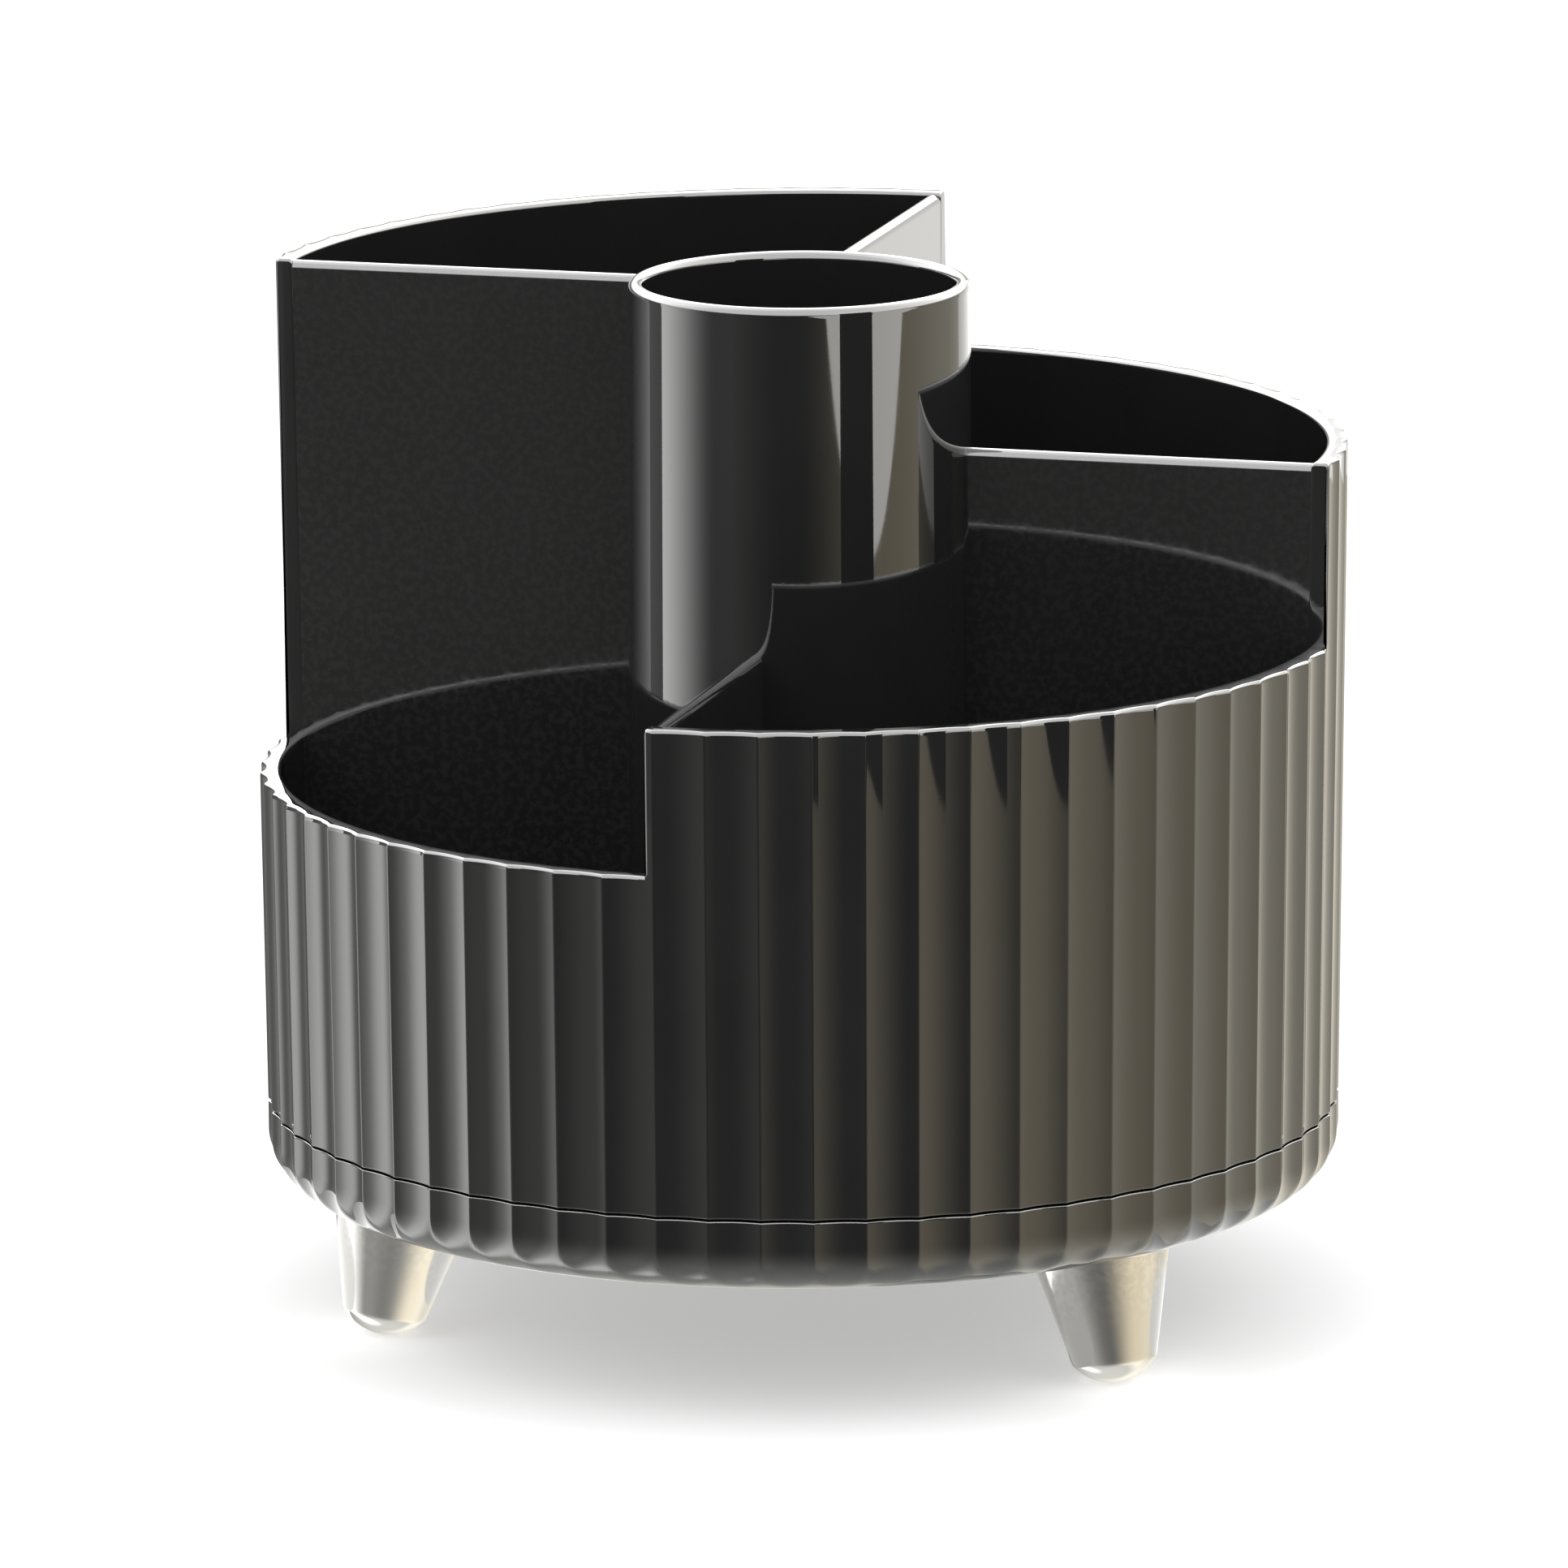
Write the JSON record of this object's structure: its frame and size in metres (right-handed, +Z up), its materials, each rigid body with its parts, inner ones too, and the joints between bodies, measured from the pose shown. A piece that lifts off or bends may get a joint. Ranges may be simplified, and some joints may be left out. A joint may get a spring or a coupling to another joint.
{
  "type": "rotating makeup organizer",
  "caption": "Round rotating desk organizer for makeup brushes: a fluted, stepped cup with open pockets and a central tube, turning on a dish with splayed feet.",
  "frame": {"origin": "on the table, under the turning axis, midway between the feet", "axes": "+Z up along the turning axis; the dividers lie along X and Y, and the rear foot points along +Y"},
  "size_m": [0.1614, 0.1613, 0.1552],
  "materials": {
    "gloss_black": "mirror gloss, injection moulded",
    "foot_plating": "bright plating",
    "screw_zinc": "zinc plated",
    "race_steel": "rolled",
    "ball_steel": "polished",
    "white_acetal": "satin",
    "brass_insert": "turned",
    "cap_black": "fine texture"
  },
  "bodies": {
    "base": {"base_dish": "gloss_black", "foot_rear": "foot_plating", "foot_left": "foot_plating", "foot_right": "foot_plating", "foot_screws": "screw_zinc", "foot_washers": "screw_zinc", "lower_race": "race_steel", "lower_race_screws": "screw_zinc", "pivot_bush": "white_acetal", "hub_cap": "cap_black"},
    "cup": {"fluted_cup": "gloss_black", "upper_race": "race_steel", "upper_race_screws": "screw_zinc", "threaded_insert": "brass_insert", "pivot_bolt": "screw_zinc", "thrust_washer": "brass_insert", "spring_washer": "race_steel"},
    "cage": {"ball_cage": "white_acetal", "bearing_balls": "ball_steel"}
  },
  "joints": [
    {"name": "cup_spin", "type": "hinge", "parent": "base", "child": "cup", "pos_m": [0, 0, 0.033], "axis": [0, 0, 1], "continuous": true},
    {"name": "cage_spin", "type": "hinge", "parent": "base", "child": "cage", "pos_m": [0, 0, 0.0286], "axis": [0, 0, 1], "continuous": true}
  ],
  "couplings": [
    {"joint": "cage_spin", "follows": "cup_spin", "ratio": 0.5}
  ]
}
